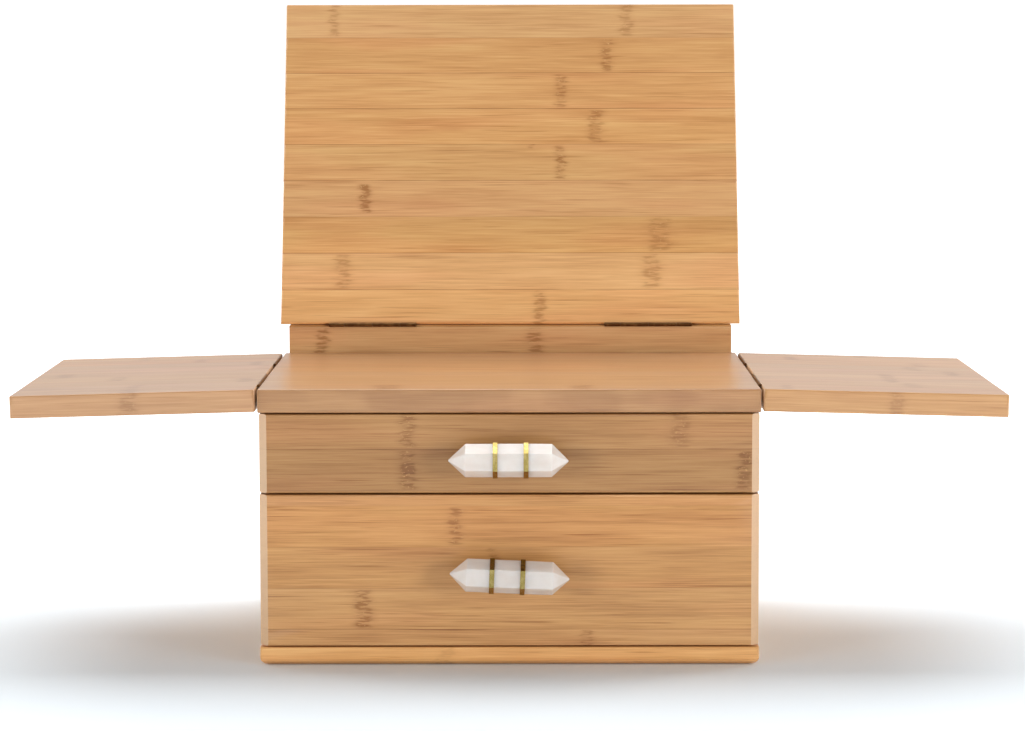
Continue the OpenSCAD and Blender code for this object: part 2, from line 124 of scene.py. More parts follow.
bambooLook = {
    "fibreLength": 0.040,      # metres along the grain
    "fibreWidth": 0.0008,
    "streakLength": 0.085,
    "streakWidth": 0.0034,
    "lineLength": 0.048,
    "lineWidth": 0.0010,
    "patchLength": 0.075,
    "patchWidth": 0.011,
    "fibreContrast": 0.62,
    "streakContrast": 0.34,
    "patchContrast": 0.42,
    "stripContrast": 0.034,
    "stripSlope": 0.07,        # how much darker one edge of a strip is than the other
    "jointWidth": 0.020,       # share of a strip
    "peachLength": 0.13,
    "peachWidth": 0.02,
    "slide": 7.0,              # how far the pattern moves from one strip to the next
    "roughness": 0.44,
    "coatRoughness": 0.26,
    "bumpDepth": 0.00008,
}
# painted highlight: the pale colour laid on chamfers and end faces stands for the light they catch
paintedEdgeHighlight = paint(219, 184, 148)


# Bamboo of glued strips. It reads the boards' own attributes, so the grain follows each board
def makeBamboo(name, pale, middle, dark, coat, lines, look=bambooLook):
    material, tree, shader = newMaterial(name)

    def attribute(label, output="Vector"):
        return put(tree, "ShaderNodeAttribute", attribute_name=label).outputs[output]

    place = attribute("grainPlace")
    across = attribute("stripPlace", "Fac")
    toneAndLight = attribute("boardTone", "Fac")
    endFace = attribute("endFace", "Fac")
    strip = sums(tree, "FLOOR", across)
    draw = put(tree, "ShaderNodeTexWhiteNoise", {"W": strip}, noise_dimensions="1D")
    three = put(tree, "ShaderNodeSeparateColor", {0: draw.outputs["Color"]})
    slide = vectorSums(tree, "SCALE", draw.outputs["Color"], (0, 0, 0))
    slide.node.inputs["Scale"].default_value = look["slide"]
    moved = vectorSums(tree, "ADD", place, slide)

    def stretched(length, width):
        return vectorSums(tree, "MULTIPLY", moved, (1 / length, 1 / width, 1 / width))

    fibre = noise(tree, stretched(look["fibreLength"], look["fibreWidth"]), 1.0, 3.0, 0.62)
    streak = noise(tree, stretched(look["streakLength"], look["streakWidth"]), 1.0, 2.0, 0.55)
    patch = noise(tree, stretched(look["patchLength"], look["patchWidth"]), 1.0, 2.0, 0.5)
    line = noise(tree, stretched(look["lineLength"], look["lineWidth"]), 1.0, 2.0, 0.5)
    value = sums(tree, "MULTIPLY_ADD", sums(tree, "SUBTRACT", fibre, 0.5), look["fibreContrast"], 0.5)
    value = sums(tree, "MULTIPLY_ADD", sums(tree, "SUBTRACT", streak, 0.5), look["streakContrast"], value)
    value = sums(tree, "MULTIPLY_ADD", sums(tree, "SUBTRACT", patch, 0.5), look["patchContrast"], value)
    ramp = put(tree, "ShaderNodeValToRGB", {0: value})
    ramp.color_ramp.elements[0].position = 0.18
    ramp.color_ramp.elements[0].color = dark
    ramp.color_ramp.elements[1].position = 0.82
    ramp.color_ramp.elements[1].color = pale
    ramp.color_ramp.elements.new(0.5).color = middle
    colour = ramp.outputs["Color"]

    # a few darker and paler single lines, and slow patches of peach in the gold
    deepLine = spread(tree, line, 0.60, 0.76, 0.0, lines)
    colour = blendColour(tree, deepLine, colour, (0.66, 0.52, 0.38, 1.0), "MULTIPLY")
    colour = blendColour(tree, spread(tree, line, 0.40, 0.27, 0.0, 0.45), colour, pale)
    peach = noise(tree, stretched(look["peachLength"], look["peachWidth"]), 1.0, 1.0, 0.5)
    peach = spread(tree, peach, 0.48, 0.66, 0.0, 0.8)
    colour = blendColour(tree, peach, colour, (1.03, 0.97, 1.0, 1.0), "MULTIPLY")

    # each strip is a little paler or darker, and a little redder or greener
    brightness = spread(tree, three.outputs["Red"], 0.0, 1.0, 1 - look["stripContrast"],
                        1 + look["stripContrast"])
    slope = sums(tree, "MULTIPLY", sums(tree, "SUBTRACT", three.outputs["Blue"], 0.5), look["stripSlope"])
    fromMiddle = sums(tree, "SUBTRACT", sums(tree, "FRACT", across), 0.5)
    brightness = sums(tree, "MULTIPLY_ADD", slope, fromMiddle, brightness)
    # the board's tone is partly its own colour and partly painted light and shade that fall on that board
    brightness = sums(tree, "MULTIPLY", brightness, toneAndLight)
    tint = put(tree, "ShaderNodeHueSaturation", {
        "Hue": spread(tree, three.outputs["Green"], 0.0, 1.0, 0.4982, 0.5018),
        "Saturation": spread(tree, three.outputs["Blue"], 0.0, 1.0, 0.97, 1.03),
        "Value": brightness, "Color": colour})
    colour = tint.outputs["Color"]

    # the rings where the cane's nodes were
    marks = 0.0
    specks = 0.0
    lace = noise(tree, vectorSums(tree, "MULTIPLY", moved, (520, 900, 900)), 1.0, 2.0, 0.6)
    dash = noise(tree, vectorSums(tree, "MULTIPLY", moved, (95, 640, 640)), 1.0, 2.0, 0.6)
    wander = noise(tree, vectorSums(tree, "MULTIPLY", moved, (5, 420, 420)), 1.0, 2.0, 0.6)
    wander = sums(tree, "MULTIPLY", sums(tree, "SUBTRACT", wander, 0.5), 0.011)
    for letter in "AB":
        centre = put(tree, "ShaderNodeSeparateXYZ", {0: attribute("ring" + letter)})
        size = put(tree, "ShaderNodeSeparateXYZ", {0: attribute("ringSize" + letter)})
        here = put(tree, "ShaderNodeSeparateXYZ", {0: place})
        along = sums(tree, "SUBTRACT", here.outputs[0], centre.outputs[0])
        along = sums(tree, "ABSOLUTE", sums(tree, "ADD", along, wander))
        along = sums(tree, "DIVIDE", along, size.outputs[0])
        side = sums(tree, "ABSOLUTE", sums(tree, "SUBTRACT", here.outputs[1], centre.outputs[1]))
        side = sums(tree, "DIVIDE", side, size.outputs[1])
        window = sums(tree, "MULTIPLY", spread(tree, along, 1.0, 0.30),
                      spread(tree, side, 1.0, 0.78))
        window = sums(tree, "MULTIPLY", window, centre.outputs[2])
        heart = sums(tree, "MULTIPLY", spread(tree, along, 0.60, 0.20), window)
        marks = sums(tree, "ADD", marks, window)
        specks = sums(tree, "ADD", specks, heart)
    ringDark = sums(tree, "MULTIPLY", marks, spread(tree, dash, 0.42, 0.62, 0.12, 0.45))
    core = sums(tree, "MULTIPLY", specks, spread(tree, dash, 0.38, 0.58, 0.15, 0.75))
    ringDark = sums(tree, "ADD", ringDark, core)
    ringPale = sums(tree, "MULTIPLY", specks, spread(tree, lace, 0.58, 0.72, 0.0, 0.7))
    colour = blendColour(tree, sums(tree, "MINIMUM", ringDark, 0.95), colour,
                         (0.59, 0.47, 0.33, 1.0), "MULTIPLY")
    colour = blendColour(tree, sums(tree, "MINIMUM", ringPale, 0.8), colour, pale)

    # glue line between two strips, then a painted highlight that makes the chamfers and ends paler, with
    # the canes' dots on the ends
    joint = put(tree, "ShaderNodeTexWhiteNoise", {"W": sums(tree, "ROUND", across)},
                noise_dimensions="1D").outputs["Value"]
    broken = spread(tree, noise(tree, stretched(0.03, 0.02), 1.0, 1.0), 0.35, 0.6, 0.35, 1.0)
    glue = spread(tree, sums(tree, "ABSOLUTE", fromMiddle), 0.5 - look["jointWidth"], 0.5)
    glue = sums(tree, "MULTIPLY", glue, spread(tree, joint, 0.1, 0.9, 0.25, 0.95))
    colour = blendColour(tree, sums(tree, "MULTIPLY", glue, broken), colour,
                         (0.56, 0.42, 0.29, 1.0), "MULTIPLY")
    colour = blendColour(tree, spread(tree, endFace, 0.0, 0.28, 0.0, 0.72), colour,
                         paintedEdgeHighlight)
    pores = put(tree, "ShaderNodeTexVoronoi", {
        "Vector": vectorSums(tree, "MULTIPLY", moved, (1, 1150, 1150)), "Scale": 1.0}).outputs["Distance"]
    dots = sums(tree, "MULTIPLY", spread(tree, pores, 0.34, 0.16, 0.0, 0.5),
                spread(tree, endFace, 0.4, 0.9))
    colour = blendColour(tree, dots, colour, (0.50, 0.36, 0.24, 1.0), "MULTIPLY")
    tree.links.new(colour, shader.inputs["Base Color"])

    rough = sums(tree, "MULTIPLY_ADD", fibre, 0.14, look["roughness"] - 0.07)
    tree.links.new(rough, shader.inputs["Roughness"])
    shader.inputs["Coat Weight"].default_value = coat
    shader.inputs["Coat Roughness"].default_value = look["coatRoughness"]
    height = sums(tree, "MULTIPLY_ADD", ringDark, -0.4, sums(tree, "ADD", fibre, streak))
    height = sums(tree, "MULTIPLY_ADD", deepLine, -0.8, height)
    bump(tree, shader, height, 0.55, look["bumpDepth"])
    return material


# pale, middle and dark wood, the lacquer's weight, and the strength of the dark lines
bamboo = makeBamboo("bamboo", paint(214, 173, 118), paint(199, 151, 97), paint(174, 121, 70),
                    0.2, 0.62)
bambooDark = makeBamboo("bambooDark", paint(207, 158, 98), paint(188, 136, 78), paint(150, 97, 45),
                        0.12, 0.85)
bambooPale = makeBamboo("bambooPale", paint(202, 158, 108), paint(186, 138, 90), paint(162, 112, 66),
                        0.75, 0.62)
print("bamboo finishes made")


# Cuts the fine V joints between the strips and writes the attributes that the bamboo reads
def makeStripTree():
    tree = bpy.data.node_groups.new("bambooStrips", "GeometryNodeTree")
    face = tree.interface
    face.new_socket("Geometry", in_out="OUTPUT", socket_type="NodeSocketGeometry")
    face.new_socket("Board", in_out="INPUT", socket_type="NodeSocketGeometry")
    for name, kind in (("Strip width", "Float"), ("First joint", "Float"), ("Joints", "Int"),
                       ("Reach", "Float"), ("Face height", "Float"), ("Joint depth", "Float"),
                       ("Tone", "Float"), ("Tone rise", "Float"), ("Seed", "Float"),
                       ("Finish", "Material")):
        face.new_socket(name, in_out="INPUT", socket_type="NodeSocket" + kind)
    given = tree.nodes.new("NodeGroupInput").outputs
    place = put(tree, "GeometryNodeInputPosition").outputs[0]
    normal = put(tree, "ShaderNodeSeparateXYZ", {0: put(tree, "GeometryNodeInputNormal").outputs[0]})
    across = put(tree, "ShaderNodeSeparateXYZ", {0: place}).outputs[1]
    stored = given["Board"]

    cutters = tree.nodes.new("GeometryNodeJoinGeometry")
    step = put(tree, "ShaderNodeCombineXYZ", {1: given["Strip width"]}).outputs[0]
    bar = put(tree, "ShaderNodeCombineXYZ", {0: given["Reach"], 1: given["Joint depth"],
                                             2: given["Joint depth"]}).outputs[0]
    cube = put(tree, "GeometryNodeMeshCube", {"Size": bar}).outputs[0]
    for sign in (1.0, -1.0):
        height = sums(tree, "MULTIPLY", given["Face height"], sign)
        start = put(tree, "ShaderNodeCombineXYZ", {1: given["First joint"], 2: height}).outputs[0]
        line = put(tree, "GeometryNodeMeshLine", {"Count": given["Joints"], "Start Location": start,
                                                  "Offset": step}).outputs[0]
        bars = put(tree, "GeometryNodeInstanceOnPoints", {
            "Points": line, "Instance": cube, "Rotation": (math.pi / 4, 0, 0)}).outputs[0]
        tree.links.new(put(tree, "GeometryNodeRealizeInstances", {0: bars}).outputs[0],
                       cutters.inputs[0])
    cut = put(tree, "GeometryNodeMeshBoolean", {"Mesh 1": stored, "Mesh 2": cutters.outputs[0]},
              operation="DIFFERENCE", solver="EXACT").outputs[0]

    number = sums(tree, "DIVIDE", sums(tree, "SUBTRACT", across, given["First joint"]),
                  given["Strip width"])
    number = sums(tree, "MULTIPLY_ADD", given["Seed"], 40.0, number)
    # painted light: the lid's last strips are made paler, standing for the light that falls on them
    rise = spread(tree, across, boardLook["riseFrom"], boardLook["riseTo"])
    toneAndLight = sums(tree, "MULTIPLY_ADD", rise, given["Tone rise"], given["Tone"])
    ends = spread(tree, sums(tree, "ABSOLUTE", normal.outputs[0]), 0.55, 0.98)
    for name, kind, domain, value in (
            ("grainPlace", "FLOAT_VECTOR", "POINT", place), ("stripPlace", "FLOAT", "POINT", number),
            ("endFace", "FLOAT", "FACE", ends), ("boardTone", "FLOAT", "POINT", toneAndLight)):
        store = put(tree, "GeometryNodeStoreNamedAttribute", {"Geometry": cut, "Name": name},
                    data_type=kind, domain=domain)
        tree.links.new(value, store.inputs["Value"])
        cut = store.outputs[0]
    whole = put(tree, "GeometryNodeRealizeInstances", {0: cut}).outputs[0]
    done = put(tree, "GeometryNodeSetMaterial", {"Geometry": whole, "Material": given["Finish"]})
    out = tree.nodes.new("NodeGroupOutput")
    tree.links.new(done.outputs[0], out.inputs[0])
    return tree


# Sets a modifier's inputs by their socket identifiers
def setInputs(modifier, values):
    for item in modifier.node_group.interface.items_tree:
        if item.item_type == "SOCKET" and item.in_out == "INPUT" and item.name in values:
            modifier[item.identifier] = values[item.name]


# The evaluated mesh of an object, as a plain mesh of its own
def settled(obj):
    bpy.context.view_layer.update()
    graph = bpy.context.evaluated_depsgraph_get()
    return bpy.data.meshes.new_from_object(obj.evaluated_get(graph), depsgraph=graph)


def newObject(name, mesh):
    obj = bpy.data.objects.new(name, mesh)
    scene.collection.objects.link(obj)
    return obj


# A merged copy of a CAD node's mesh, its flat areas joined into single faces
def mergedCopy(node):
    shape = bmesh.new()
    shape.from_mesh(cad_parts[node].data)
    bmesh.ops.remove_doubles(shape, verts=shape.verts, dist=weldDistance)
    bmesh.ops.dissolve_limit(shape, angle_limit=math.radians(0.3), verts=shape.verts,
                             edges=shape.edges)
    mesh = bpy.data.meshes.new(node)
    shape.to_mesh(mesh)
    shape.free()
    return mesh


# Smooth rounded edges beside flat faces that stay flat
def softShade(obj, angle=38):
    obj.data.shade_smooth()
    obj.data.set_sharp_from_angle(angle=math.radians(angle))
    weights = obj.modifiers.new("flatFaces", "WEIGHTED_NORMAL")
    weights.keep_sharp = True
    weights.weight = 100
    mesh = settled(obj)
    obj.modifiers.clear()
    obj.data = mesh


def register(obj, body, slot, *nodes):
    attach(obj, body)
    if nodes:
        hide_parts(*nodes)


flatAlong = {  # turns a board so that its grain runs along X, its strips across Y
    "xy": Matrix.Identity(3),
    "xz": Matrix(((1, 0, 0), (0, 0, 1), (0, -1, 0))),
    "yz": Matrix(((0, 1, 0), (0, 0, 1), (1, 0, 0))),
}

lidLean = 20      # degrees back from upright
wingDroop = 1.5   # degrees below level

boardLook = {
    "stripWidth": 22.4 * mm,
    "lidStripWidth": 22.9 * mm,
    "jointDepth": 0.20 * mm,
    "lidRise": 0.32,           # painted light: how much paler the lid's last strips are made, standing for light that falls on them
    "riseFrom": 30 * mm,       # where they begin and end to pale, from the lid's middle
    "riseTo": 85 * mm,
    "ringLength": 7.5 * mm,    # half a ring's length along the grain
    "ringStrength": 0.62,
}

# name: body, slot, finish, grain and strip directions, tilt, tone (the board's own tone, partly painted
# light and shade on that board), first joint in mm from the middle,
# and the rings that are plain to see: strip, mm along, strength, half length, middle and half height.
# The base's row names the slot of the drawer fronts, but its finish is the paler bamboo
boards = {
    "base_board": ("case", "bamboo_dark", bamboo, "xy", None, 1.54, -84, [
        (0, -35, 0.6, 9, 0, 0.5)]),
    "left_side_panel": ("case", "bamboo", bamboo, "yz", None, 1.0, -50, []),
    "right_side_panel": ("case", "bamboo", bamboo, "yz", None, 1.0, -46, []),
    "back_panel": ("case", "bamboo", bamboo, "xz", None, 1.20, -57, [
        (6, -113, 0.8, 7, 0, 0.5), (6, 15, 0.75, 9, 0, 0.5)]),
    "divider_shelf": ("case", "bamboo", bamboo, "xy", None, 0.98, -80, []),
    "top_board": ("case", "bamboo_pale", bambooPale, "xy", None, 0.97, -77.5, [
        (0, -66, 0.85, 16, 0, 0.5), (0, 39, 0.8, 12, 0, 0.5)]),
    "lid_panel": ("lid", "bamboo", bamboo, "xy", ("X", 90 + lidLean), 1.04, -79.7, [
        (0, -108, 0.5, 6, 0, 0.5), (0, 71, 0.55, 8, 0, 0.5), (1, 59, 0.75, 7, 0, 0.5),
        (2, 31, 0.7, 7, 0, 0.5), (3, 52, 0.7, 9, 0, 0.5), (4, 30.5, 0.8, 6, 0, 0.5),
        (4, 13, 0.8, 3, -0.46, 0.08), (5, -88, 1.0, 6, 0, 0.42), (6, 90, 0.55, 14, 0, 0.5),
        (7, -101, 0.55, 9, 0, 0.5), (7, 85, 0.55, 11, 0, 0.5), (8, 17.5, 0.65, 7, 0, 0.5)]),
    "left_wing_panel": ("left_wing", "bamboo_pale", bambooPale, "xy", ("Y", wingDroop), 1.02, -81, []),
    "right_wing_panel": ("right_wing", "bamboo_pale", bambooPale, "xy", ("Y", -wingDroop), 1.09, -74, []),
    "upper_drawer_front": ("upper_drawer", "bamboo_dark", bambooDark, "xz", None, 0.79, 2.3, [
        (0, -54, 1.0, 9, 0, 0.5), (1, -54, 0.75, 8, 0, 0.5), (1, 92, 0.6, 10, 0, 0.5),
        (0, 126, 0.85, 8, 0, 0.5)]),
    "upper_drawer_left_side": ("upper_drawer", "bamboo", bamboo, "yz", None, 1.0, -4, []),
    "upper_drawer_right_side": ("upper_drawer", "bamboo", bamboo, "yz", None, 1.0, 3, []),
    "upper_drawer_back": ("upper_drawer", "bamboo", bamboo, "xz", None, 1.0, 0, []),
    "upper_drawer_bottom": ("upper_drawer", "bamboo", bamboo, "xy", None, 1.0, -70, []),
    "upper_drawer_long_divider": ("upper_drawer", "bamboo_pale", bambooPale, "xz", None, 1.0, 40, []),
    "upper_drawer_cross_dividers": (
        "upper_drawer", "bamboo_pale", bambooPale, "yz", None, 1.0, 40, []),
    "lower_drawer_front": ("lower_drawer", "bamboo_dark", bambooDark, "xz", None, 1.14, -32.1, [
        (4, 36, 0.9, 9, 0.3, 0.4), (3, -29, 0.7, 7, 0, 0.5), (2, -8, 0.6, 5, 0.25, 0.25),
        (1, -79, 0.95, 9, 0, 0.5), (0, 41, 0.65, 7, 0.24, 0.26)]),
    "lower_drawer_left_side": ("lower_drawer", "bamboo", bamboo, "yz", None, 1.0, -24, []),
    "lower_drawer_right_side": ("lower_drawer", "bamboo", bamboo, "yz", None, 1.0, -21, []),
    "lower_drawer_back": ("lower_drawer", "bamboo", bamboo, "xz", None, 1.0, -26, []),
    "lower_drawer_bottom": ("lower_drawer", "bamboo", bamboo, "xy", None, 1.0, -66, []),
}


# Writes where the rings of each strip are, on the faces of that strip
def writeRings(mesh, width, length, firstJoint, seen, seed):
    draw = random.Random(seed)
    strips = {}
    for face in mesh.polygons:
        number = math.floor((face.center.y - firstJoint) / width)
        strips.setdefault(number + 1, []).append(face.index)
    named = {"ringA": {}, "ringB": {}}
    for number in sorted(strips):
        rings = [ring for ring in seen if ring[0] == number]
        lucky = draw.uniform(-0.5, 0.5) * length, draw.uniform(0.5, 1.0), draw.uniform(0.8, 1.3)
        if not seen:
            rings = [(number, lucky[0] / mm, lucky[1] * boardLook["ringStrength"],
                      lucky[2] * boardLook["ringLength"] / mm, 0, 0.5)]
        middle = firstJoint + (number - 0.5) * width
        for label, ring in zip(("A", "B"), rings + [(number, 0, 0, 5, 0, 0.5)] * 2):
            named["ring" + label][number] = (
                (ring[1] * mm, middle + ring[4] * width, ring[2]),
                (ring[3] * mm, ring[5] * width * 1.02, 0))
    for label in "AB":
        places = [0.0] * (3 * len(mesh.polygons))
        sizes = [0.0] * (3 * len(mesh.polygons))
        for number, faces in strips.items():
            for index in faces:
                places[3 * index:3 * index + 3] = named["ring" + label][number][0]
                sizes[3 * index:3 * index + 3] = named["ring" + label][number][1]
        for name, values in (("ring" + label, places), ("ringSize" + label, sizes)):
            mesh.attributes.new(name, "FLOAT_VECTOR", "FACE").data.foreach_set("vector", values)


stripTree = makeStripTree()


def makeBoard(node, number):
    body, slot, finish, grain, tilt, toneAndLight, firstJoint, rings = boards[node]
    mesh = mergedCopy(node)
    turn = flatAlong[grain].to_4x4()
    if tilt:
        turn = Matrix.Rotation(math.radians(tilt[1]), 4, tilt[0]) @ turn
    mesh.transform(turn)
    low = Vector([min(v.co[i] for v in mesh.vertices) for i in range(3)])
    high = Vector([max(v.co[i] for v in mesh.vertices) for i in range(3)])
    centre = Matrix.Translation(-(low + high) / 2)
    mesh.transform(centre)
    size = high - low
    start = firstJoint * mm
    width = boardLook["lidStripWidth" if node == "lid_panel" else "stripWidth"]
    count = max(0, math.ceil((size.y / 2 - 2 * mm - start) / width))
    obj = newObject(node.replace("_", "") + "Work", mesh)
    strips = obj.modifiers.new("strips", "NODES")
    strips.node_group = stripTree
    setInputs(strips, {
        "Strip width": width, "First joint": start, "Joints": count,
        "Reach": size.x + 20 * mm, "Face height": size.z / 2, "Joint depth": boardLook["jointDepth"],
        "Tone": toneAndLight, "Tone rise": boardLook["lidRise"] if node == "lid_panel" else 0.0,
        "Seed": float(number), "Finish": finish})
    cut = settled(obj)
    writeRings(cut, width, size.x, start, rings, 500 + number)
    cut.transform((centre @ turn).inverted())
    obj.modifiers.clear()
    obj.data = cut
    softShade(obj)
    words = node.split("_")
    obj.name = words[0] + "".join(word.capitalize() for word in words[1:]) + "Bamboo"
    register(obj, body, slot, node)
    return obj


for number, node in enumerate(boards):
    made = makeBoard(node, number)
    print(node, len(made.data.polygons), "faces")
print("bamboo boards cut and stripped")


def makeMetal(name, colour, worn, roughness, wear, scale):
    material, tree, shader = newMaterial(name)
    place = put(tree, "ShaderNodeTexCoord").outputs["Object"]
    patches = noise(tree, place, scale, 4.0, 0.6)
    grit = noise(tree, place, scale * 9, 3.0, 0.6)
    amount = spread(tree, patches, 0.42, 0.62, 0.0, wear)
    tree.links.new(blendColour(tree, amount, colour, worn), shader.inputs["Base Color"])
    shader.inputs["Metallic"].default_value = 1.0
    tree.links.new(sums(tree, "MULTIPLY_ADD", grit, 0.22, roughness - 0.11), shader.inputs["Roughness"])
    bump(tree, shader, grit, 0.2, 0.00004)
    return material


bronze = makeMetal("agedBronze", paint(104, 72, 44), paint(142, 104, 64), 0.40, 0.7, 260.0)
brass = makeMetal("polishedBrass", paint(146, 128, 72), paint(176, 158, 104), 0.22, 0.6, 300.0)
steel = makeMetal("screwSteel", paint(176, 176, 180), paint(205, 205, 208), 0.30, 0.5, 400.0)


def makeRubber():
    material, tree, shader = newMaterial("bumperRubber")
    place = put(tree, "ShaderNodeTexCoord").outputs["Object"]
    grain = noise(tree, place, 2400.0, 3.0, 0.7)
    tree.links.new(blendColour(tree, grain, paint(52, 46, 42), paint(74, 66, 60)),
                   shader.inputs["Base Color"])
    tree.links.new(sums(tree, "MULTIPLY_ADD", grain, 0.2, 0.55), shader.inputs["Roughness"])
    bump(tree, shader, grain, 0.3, 0.00008)
    return material


def makeFelt():
    material, tree, shader = newMaterial("woolFelt")
    place = put(tree, "ShaderNodeTexCoord").outputs["Object"]
    tufts = noise(tree, place, 900.0, 4.0, 0.75)
    mottle = noise(tree, place, 90.0, 3.0, 0.6)
    amount = sums(tree, "MULTIPLY_ADD", mottle, 0.5, sums(tree, "MULTIPLY", tufts, 0.5))
    tree.links.new(blendColour(tree, amount, paint(206, 197, 180), paint(238, 231, 217)),
                   shader.inputs["Base Color"])
    shader.inputs["Roughness"].default_value = 0.95
    shader.inputs["Sheen Weight"].default_value = 0.4
    shader.inputs["Sheen Roughness"].default_value = 0.5
    bump(tree, shader, tufts, 0.7, 0.0006)
    return material


def makeQuartz():
    material, tree, shader = newMaterial("milkyQuartz")
    place = put(tree, "ShaderNodeTexCoord").outputs["Object"]
    veil = noise(tree, vectorSums(tree, "MULTIPLY", place, (60, 150, 110)), 1.0, 4.0, 0.6)
    crack = noise(tree, vectorSums(tree, "MULTIPLY", place, (420, 130, 240)), 1.0, 5.0, 0.7)
    colour = blendColour(tree, spread(tree, veil, 0.36, 0.64), paint(215, 205, 197),
                         paint(217, 210, 204))
    colour = blendColour(tree, spread(tree, crack, 0.62, 0.76, 0.0, 0.25), colour,
                         paint(205, 193, 184))
    tree.links.new(colour, shader.inputs["Base Color"])
    tree.links.new(spread(tree, veil, 0.3, 0.7, 0.06, 0.01), shader.inputs["Transmission Weight"])
    tree.links.new(spread(tree, crack, 0.3, 0.7, 0.14, 0.26), shader.inputs["Roughness"])
    shader.inputs["IOR"].default_value = 1.54
    shader.inputs["Subsurface Weight"].default_value = 0.9
    shader.inputs["Subsurface Radius"].default_value = (1.0, 0.85, 0.75)
    shader.inputs["Subsurface Scale"].default_value = 0.014
    shader.inputs["Coat Weight"].default_value = 0.3
    shader.inputs["Coat Roughness"].default_value = 0.08
    bump(tree, shader, veil, 0.1, 0.0003)
    return material


rubber = makeRubber()
felt = makeFelt()
quartz = makeQuartz()
print("metal, rubber, felt and quartz made")


crystalLook = {
    "length": 64 * mm,
    "tip": 9.0 * mm,
    "blunt": 0.5 * mm,         # radius left at the very point
    "uneven": 0.28 * mm,       # how far a corner strays
    "edge": 0.32 * mm,
    "inset": 0.02 * mm,        # keeps the corners inside the cut size
    "tipInset": 0.05 * mm,
}
bandLook = {"spacing": 16.4 * mm, "width": 2.6 * mm, "thick": 0.4 * mm, "gap": 0.1 * mm,
            "edge": 0.1 * mm}
crystals = {
    "upper": {"across": 18.2 * mm, "turn": 0.0, "seed": 11},
    "lower": {"across": 18.2 * mm, "turn": 2.4, "seed": 23},
}


# A bar of rings along X; each ring is a list of points
def ringBar(name, rings):
    shape = bmesh.new()
    rows = [[shape.verts.new(point) for point in ring] for ring in rings]
    for first, second in zip(rows, rows[1:]):
        for i in range(len(first)):
            j = (i + 1) % len(first)
            shape.faces.new((first[i], first[j], second[j], second[i]))
    shape.faces.new(rows[0][::-1])
    shape.faces.new(rows[-1])
    bmesh.ops.recalc_face_normals(shape, faces=shape.faces)
    mesh = bpy.data.meshes.new(name)
    shape.to_mesh(mesh)
    shape.free()
    return newObject(name, mesh)


def sixCorners(x, radius, stray=0.0, draw=None):
    points = []
    for i in range(6):
        turn = math.radians(90 + 60 * i)
        shift = draw.uniform(-stray, stray) if draw else 0.0
        size = radius - (abs(draw.uniform(0, stray)) * 0.4 if draw else 0.0)
        points.append((x + shift, size * math.cos(turn), size * math.sin(turn)))
    return points


def roundEdges(obj, width, segments=2, angle=20):
    bevel = obj.modifiers.new("edges", "BEVEL")
    bevel.width = width
    bevel.segments = segments
    bevel.limit_method = "ANGLE"
    bevel.angle_limit = math.radians(angle)
    obj.data = settled(obj)
    obj.modifiers.clear()


def pullPlace(which, piece):
    low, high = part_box(which + piece)
    turn = Matrix.Rotation(math.radians(crystals[which]["turn"]), 4, "Y")
    return Matrix.Translation((low + high) / 2) @ turn


def makeCrystal(which):
    given = crystals[which]
    look = crystalLook
    draw = random.Random(given["seed"])
    radius = given["across"] / 2
    half = look["length"] / 2
    rings = []
    for side in (-1, 1):
        tipRing = sixCorners(side * (half - look["tipInset"]), look["blunt"])
        off = draw.uniform(-0.5, 0.5) * mm, draw.uniform(-0.4, 0.4) * mm
        tipRing = [(x, y + off[0], z + off[1]) for x, y, z in tipRing]
        shoulder = sixCorners(side * (half - look["tip"]), radius - look["inset"], look["uneven"],
                              draw)
        inner = sixCorners(side * (bandLook["spacing"] / 2 + 4 * mm), radius - look["inset"])
        rings.append([tipRing, shoulder, inner])
    order = rings[0] + rings[1][::-1]
    obj = ringBar(which + "Crystal", order)
    roundEdges(obj, look["edge"], 2, 18)
    obj.data.transform(pullPlace(which, "_crystal"))
    obj.data.materials.append(quartz)
    softShade(obj, 12)
    register(obj, which + "_drawer", "quartz", which + "_crystal")


def makeBands(which):
    inner = crystals[which]["across"] / 2 + bandLook["gap"] / math.cos(math.pi / 6)
    outer = inner + bandLook["thick"] / math.cos(math.pi / 6)
    half = bandLook["width"] / 2
    shape = bmesh.new()
    for centre in (-bandLook["spacing"] / 2, bandLook["spacing"] / 2):
        loops = [[shape.verts.new(point) for point in sixCorners(centre + x, radius)]
                 for x, radius in ((-half, inner), (-half, outer), (half, outer), (half, inner))]
        for first, second in zip(loops, loops[1:] + loops[:1]):
            for i in range(6):
                j = (i + 1) % 6
                shape.faces.new((first[i], first[j], second[j], second[i]))
    bmesh.ops.recalc_face_normals(shape, faces=shape.faces)
    mesh = bpy.data.meshes.new(which + "Bands")
    shape.to_mesh(mesh)
    shape.free()
    obj = newObject(which + "PullBands", mesh)
    roundEdges(obj, bandLook["edge"], 2, 30)
    obj.data.transform(pullPlace(which, "_pull_bands"))
    obj.data.materials.append(brass)
    softShade(obj, 25)
    register(obj, which + "_drawer", "brass_fittings", which + "_pull_bands")


for which in crystals:
    makeCrystal(which)
    makeBands(which)
print("crystals and bands made")


screwLook = {"headWidth": 3.2 * mm, "headHeight": 0.9 * mm, "shankWidth": 1.6 * mm, "length": 8 * mm,
             "recessWidth": 0.42 * mm, "recessLength": 1.9 * mm, "recessDepth": 0.55 * mm}


